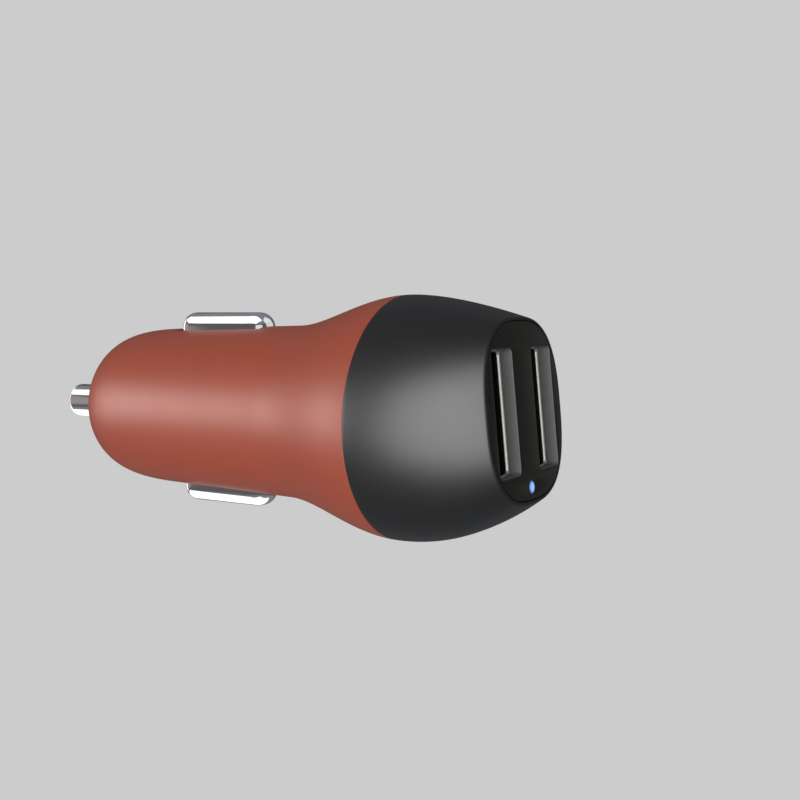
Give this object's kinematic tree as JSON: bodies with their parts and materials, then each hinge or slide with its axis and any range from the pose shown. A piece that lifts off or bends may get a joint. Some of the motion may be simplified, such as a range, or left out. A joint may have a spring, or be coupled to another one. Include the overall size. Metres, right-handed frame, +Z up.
{
  "type": "car charger plug",
  "caption": "Round in-car charger plug with a flared barrel, sprung side and centre contacts, and a tilted oval face with side by side charging ports.",
  "frame": {"origin": "on the barrel axis, in the plane where the flare begins and the mouth of the car socket stops the plug", "axes": "+X along the barrel from the centre contact to the front face, +Z up with the light low on the face and the side contacts above and below"},
  "size_m": [0.0697, 0.0282, 0.0282],
  "materials": {
    "barrel_plastic": "satin moulded",
    "head_plastic": "satin moulded",
    "plate_plastic": "gloss moulded",
    "light_window": "clear, lit light blue",
    "led_chip": "moulded",
    "chrome": "polished chrome plate",
    "spring_steel": "drawn wire",
    "brass": "stamped",
    "nickel_steel": "nickel plated sheet",
    "port_black": "moulded",
    "contact_gold": "gold plated",
    "board_green": "lacquered laminate",
    "capacitor_sleeve": "can",
    "ferrite": "sintered ferrite",
    "chip_black": "moulded chip body",
    "chip_tan": "ceramic"
  },
  "bodies": {
    "housing": {"barrel_housing": "barrel_plastic", "head_shell": "head_plastic", "front_plate": "plate_plastic", "light_pipe": "light_window", "status_led": "led_chip", "pin_spring": "spring_steel", "spring_cup": "brass", "clip_spring_top": "spring_steel", "clip_spring_bottom": "spring_steel", "ground_strap": "brass", "main_board": "board_green", "input_capacitor": "capacitor_sleeve", "output_capacitor": "capacitor_sleeve", "inductor": "ferrite", "input_fuse": "chip_tan", "regulator_chip": "chip_black", "rectifier": "chip_black", "control_chip": "chip_black", "chip_resistors": "chip_black", "chip_capacitors": "chip_tan", "port_shell_left": "nickel_steel", "port_insulator_left": "port_black", "port_contacts_left": "contact_gold", "port_shell_right": "nickel_steel", "port_insulator_right": "port_black", "port_contacts_right": "contact_gold"},
    "centre_pin": {"centre_pin": "chrome"},
    "clip_top": {"clip_top": "chrome"},
    "clip_bottom": {"clip_bottom": "chrome"}
  },
  "joints": [
    {"name": "centre_pin_slide", "type": "slide", "parent": "housing", "child": "centre_pin", "axis": [1, 0, 0], "range_m": [0, 0.0025], "stiffness_N_per_m": 900, "springref_m": -0.002, "deforming": ["pin_spring"]},
    {"name": "clip_top_slide", "type": "slide", "parent": "housing", "child": "clip_top", "axis": [0, 0, -1], "range_m": [0, 0.0015], "stiffness_N_per_m": 1500, "springref_m": -0.001, "deforming": ["clip_spring_top"]},
    {"name": "clip_bottom_slide", "type": "slide", "parent": "housing", "child": "clip_bottom", "axis": [0, 0, 1], "range_m": [0, 0.0015], "stiffness_N_per_m": 1500, "springref_m": -0.001, "deforming": ["clip_spring_bottom"]}
  ]
}
